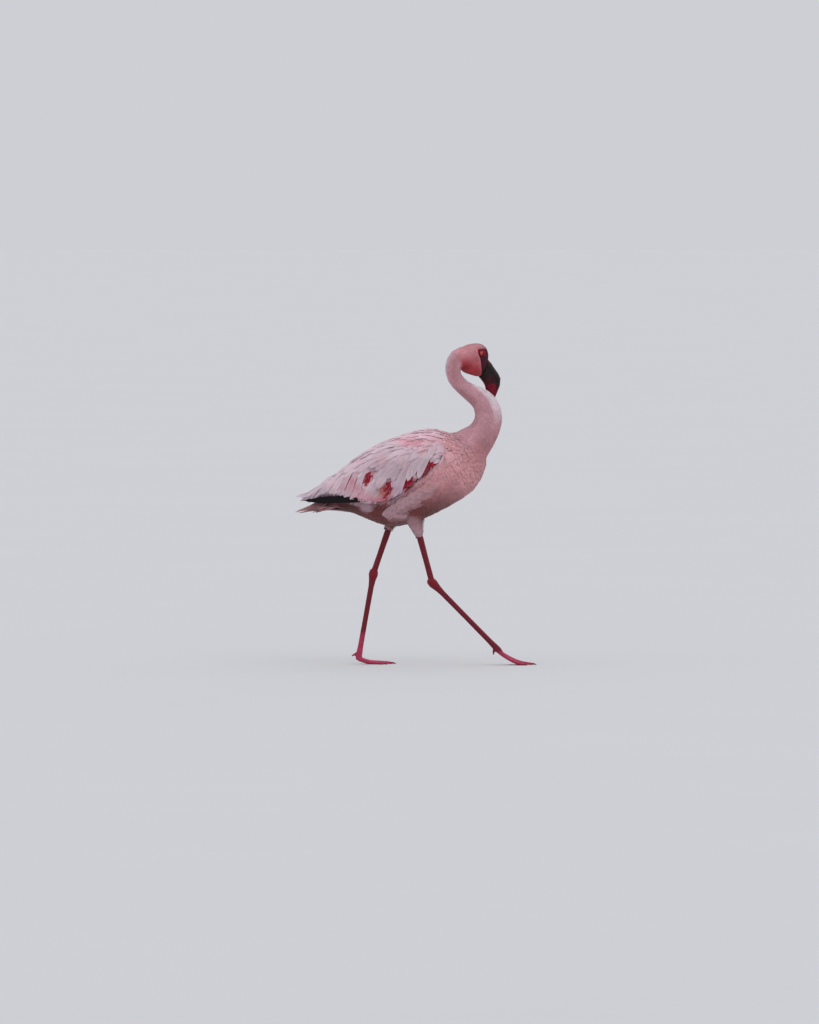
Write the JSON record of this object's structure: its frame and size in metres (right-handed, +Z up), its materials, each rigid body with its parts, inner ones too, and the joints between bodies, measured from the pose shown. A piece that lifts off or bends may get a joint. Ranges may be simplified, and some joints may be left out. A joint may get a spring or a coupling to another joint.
{
  "type": "lesser flamingo model",
  "caption": "Life-size still model of a walking lesser flamingo, neck in an S, head turned to its left, both webbed feet flat on the floor.",
  "frame": {"origin": "on the floor, below the middle of the model's length and width", "axes": "+Z up, +X the way the bird walks, +Y its left"},
  "size_m": [0.487, 0.16, 0.6421],
  "materials": {
    "plumage": "salmon-pink contour feathers, soft and matt",
    "pale_plumage": "pale pink to white wing coverts, shoulder and tail feathers with crimson patches, matt",
    "flight": "black flight feathers with a low sheen",
    "bill": "dark maroon horn with a crimson patch and a black tip, satin",
    "eye": "glossy orange-red iris with a black pupil",
    "leg": "crimson scaled skin, satin, darker at the joints",
    "claw": "dark horn"
  },
  "bodies": {
    "root": {"trunk": "plumage", "tail": "pale_plumage", "wing_right": "pale_plumage", "flight_feathers_right": "flight", "wing_left": "pale_plumage", "flight_feathers_left": "flight", "neck_base": "plumage", "neck_middle": "plumage", "neck_top": "plumage", "head": "plumage", "eye_right": "eye", "eye_left": "eye", "bill_upper": "bill", "bill_lower": "bill", "thigh_right": "plumage", "shin_right": "leg", "shank_right": "leg", "hind_toe_right": "leg", "foot_right": "leg", "claw_inner_right": "claw", "claw_middle_right": "claw", "claw_outer_right": "claw", "thigh_left": "plumage", "shin_left": "leg", "shank_left": "leg", "hind_toe_left": "leg", "foot_left": "leg", "claw_inner_left": "claw", "claw_middle_left": "claw", "claw_outer_left": "claw"}
  },
  "joints": []
}
